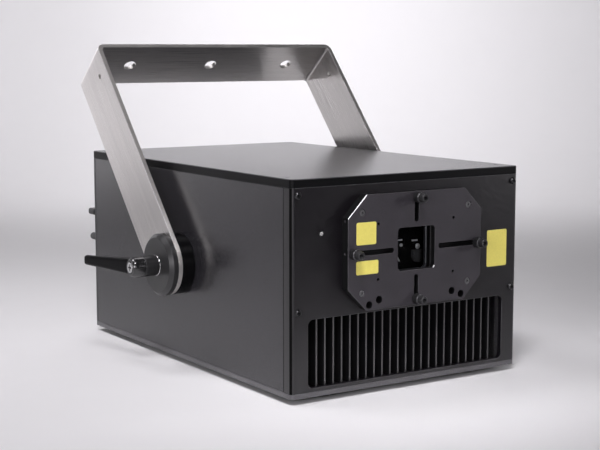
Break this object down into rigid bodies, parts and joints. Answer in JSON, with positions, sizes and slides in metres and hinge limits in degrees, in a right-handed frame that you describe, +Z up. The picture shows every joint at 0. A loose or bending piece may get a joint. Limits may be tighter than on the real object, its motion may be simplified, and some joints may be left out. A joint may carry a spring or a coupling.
{
  "type": "laser show projector",
  "caption": "Black box-shaped laser show projector with a leaned-back metal yoke, clamp levers, an adjustable mask plate around its beam window and cooling fins below.",
  "frame": {"origin": "middle of the bounding box in X and Y, on the surface under the feet", "axes": "+Z up, the front panel and mask plate face -Y, X runs across the width along the tilt axis"},
  "size_m": [0.5072, 0.57, 0.4063],
  "materials": {
    "case_black": "black anodised, satin",
    "mask_black": "black anodised, fine matt",
    "knob_black": "blackened steel, turned",
    "screw_black": "black oxide",
    "clamp_black": "black anodised, turned",
    "yoke_metal": "brushed along its length",
    "bright_steel": "plain bright",
    "lever_gloss": "black, glossy coat on a casting",
    "foot_rubber": "matt black",
    "fin_dark": "dark anodised extrusion",
    "bare_aluminium": "milled",
    "laser_case": "bead blasted",
    "motor_steel": "dull",
    "mirror_glass": "coated",
    "clear_glass": "coated, clear",
    "board_green": "solder resist",
    "fan_plastic": "moulded",
    "guard_black": "black coat",
    "socket_plastic": "moulded",
    "socket_metal": "plated",
    "rocker_red": "moulded",
    "led_lens": "milky lens",
    "display_dark": "dark panel"
  },
  "bodies": {
    "housing": {"base_plate": "case_black", "front_panel": "case_black", "rear_panel": "case_black", "left_side_panel": "case_black", "right_side_panel": "case_black", "top_lid": "case_black", "mask_plate": "mask_black", "panel_screws": "screw_black", "countersunk_screws": "screw_black", "mask_plate_screws": "screw_black", "pivot_bosses": "clamp_black", "pivot_studs": "bright_steel", "lever_washers": "bright_steel", "rubber_feet": "foot_rubber", "heatsink": "fin_dark", "corner_posts": "bare_aluminium", "optical_deck": "bare_aluminium", "mirror_mounts": "bare_aluminium", "scanner_block": "bare_aluminium", "window_frame": "bare_aluminium", "red_laser_module": "laser_case", "green_laser_module": "laser_case", "blue_laser_module": "laser_case", "power_supply": "laser_case", "galvo_motors": "motor_steel", "beam_mirrors": "mirror_glass", "window_glass": "clear_glass", "circuit_boards": "board_green", "fan_frames": "fan_plastic", "fan_guards": "guard_black", "mains_inlet": "socket_plastic", "control_panel": "socket_plastic", "dmx_input_socket": "socket_plastic", "data_sockets": "socket_metal", "key_switch_barrel": "socket_metal", "emission_led": "led_lens", "display_glass": "display_dark"},
    "yoke": {"yoke_bracket": "yoke_metal", "clamp_discs": "clamp_black"},
    "clamp_left": {"lever_insert_left": "knob_black", "lever_screw_left": "bright_steel"},
    "clamp_right": {"lever_insert_right": "knob_black", "lever_screw_right": "bright_steel"},
    "handle_left": {"lever_handle_left": "lever_gloss"},
    "handle_right": {"lever_handle_right": "lever_gloss"},
    "blade_left": {"mask_blade_left": "mask_black"},
    "blade_right": {"mask_blade_right": "mask_black"},
    "blade_top": {"mask_blade_top": "mask_black"},
    "blade_bottom": {"mask_blade_bottom": "mask_black"},
    "knob_left": {"mask_knob_left": "knob_black"},
    "knob_right": {"mask_knob_right": "knob_black"},
    "knob_top": {"mask_knob_top": "knob_black"},
    "knob_bottom": {"mask_knob_bottom": "knob_black"},
    "scan_x": {"scan_mirror_x": "mirror_glass"},
    "scan_y": {"scan_mirror_y": "mirror_glass"},
    "fan_left": {"fan_rotor_left": "fan_plastic"},
    "fan_right": {"fan_rotor_right": "fan_plastic"},
    "key": {"switch_key": "bright_steel"},
    "menu": {"menu_knob": "socket_plastic"},
    "rocker": {"power_switch_rocker": "rocker_red"}
  },
  "joints": [
    {"name": "yoke_tilt", "type": "hinge", "parent": "housing", "child": "yoke", "pos_m": [0, 0.0008, 0.1305], "axis": [1, 0, 0], "range_deg": [-64, 146]},
    {"name": "clamp_left_turn", "type": "hinge", "parent": "housing", "child": "clamp_left", "pos_m": [0, 0.0008, 0.1305], "axis": [-1, 0, 0], "range_deg": [-120, 120]},
    {"name": "lever_left_lift", "type": "slide", "parent": "clamp_left", "child": "handle_left", "axis": [-1, 0, 0], "range_m": [0, 0.004], "stiffness_N_per_m": 2500, "springref_m": -0.002},
    {"name": "clamp_right_turn", "type": "hinge", "parent": "housing", "child": "clamp_right", "pos_m": [0, 0.0008, 0.1305], "axis": [1, 0, 0], "range_deg": [-120, 120]},
    {"name": "lever_right_lift", "type": "slide", "parent": "clamp_right", "child": "handle_right", "axis": [1, 0, 0], "range_m": [0, 0.004], "stiffness_N_per_m": 2500, "springref_m": -0.002},
    {"name": "mask_left_slide", "type": "slide", "parent": "housing", "child": "blade_left", "axis": [1, 0, 0], "range_m": [0, 0.0545]},
    {"name": "knob_left_turn", "type": "hinge", "parent": "blade_left", "child": "knob_left", "pos_m": [-0.091, -0.2687, 0.169], "axis": [0, -1, 0], "range_deg": [0, 360]},
    {"name": "mask_right_slide", "type": "slide", "parent": "housing", "child": "blade_right", "axis": [-1, 0, 0], "range_m": [0, 0.0545]},
    {"name": "knob_right_turn", "type": "hinge", "parent": "blade_right", "child": "knob_right", "pos_m": [0.091, -0.2687, 0.169], "axis": [0, -1, 0], "range_deg": [0, 360]},
    {"name": "mask_top_slide", "type": "slide", "parent": "housing", "child": "blade_top", "axis": [0, 0, -1], "range_m": [0, 0.0255]},
    {"name": "knob_top_turn", "type": "hinge", "parent": "blade_top", "child": "knob_top", "pos_m": [0, -0.2687, 0.229], "axis": [0, -1, 0], "range_deg": [0, 360]},
    {"name": "mask_bottom_slide", "type": "slide", "parent": "housing", "child": "blade_bottom", "axis": [0, 0, 1], "range_m": [0, 0.0255]},
    {"name": "knob_bottom_turn", "type": "hinge", "parent": "blade_bottom", "child": "knob_bottom", "pos_m": [0, -0.2687, 0.109], "axis": [0, -1, 0], "range_deg": [0, 360]},
    {"name": "scan_x_turn", "type": "hinge", "parent": "housing", "child": "scan_x", "pos_m": [-0.018, -0.1947, 0.169], "axis": [0, 1, 0], "range_deg": [-12, 12]},
    {"name": "scan_y_turn", "type": "hinge", "parent": "housing", "child": "scan_y", "pos_m": [0, -0.1947, 0.169], "axis": [0, 0, 1], "range_deg": [-12, 12]},
    {"name": "fan_left_spin", "type": "hinge", "parent": "housing", "child": "fan_left", "pos_m": [-0.07, 0.2433, 0.057], "axis": [0, 1, 0], "continuous": true},
    {"name": "fan_right_spin", "type": "hinge", "parent": "housing", "child": "fan_right", "pos_m": [0.07, 0.2433, 0.057], "axis": [0, 1, 0], "continuous": true},
    {"name": "key_turn", "type": "hinge", "parent": "housing", "child": "key", "pos_m": [-0.151, 0.2583, 0.1685], "axis": [0, 1, 0], "range_deg": [0, 90]},
    {"name": "menu_turn", "type": "hinge", "parent": "housing", "child": "menu", "pos_m": [-0.157, 0.2583, 0.1325], "axis": [0, 1, 0], "continuous": true},
    {"name": "rocker_tip", "type": "hinge", "parent": "housing", "child": "rocker", "pos_m": [0.128, 0.2583, 0.172], "axis": [1, 0, 0], "range_deg": [-8, 8]}
  ]
}
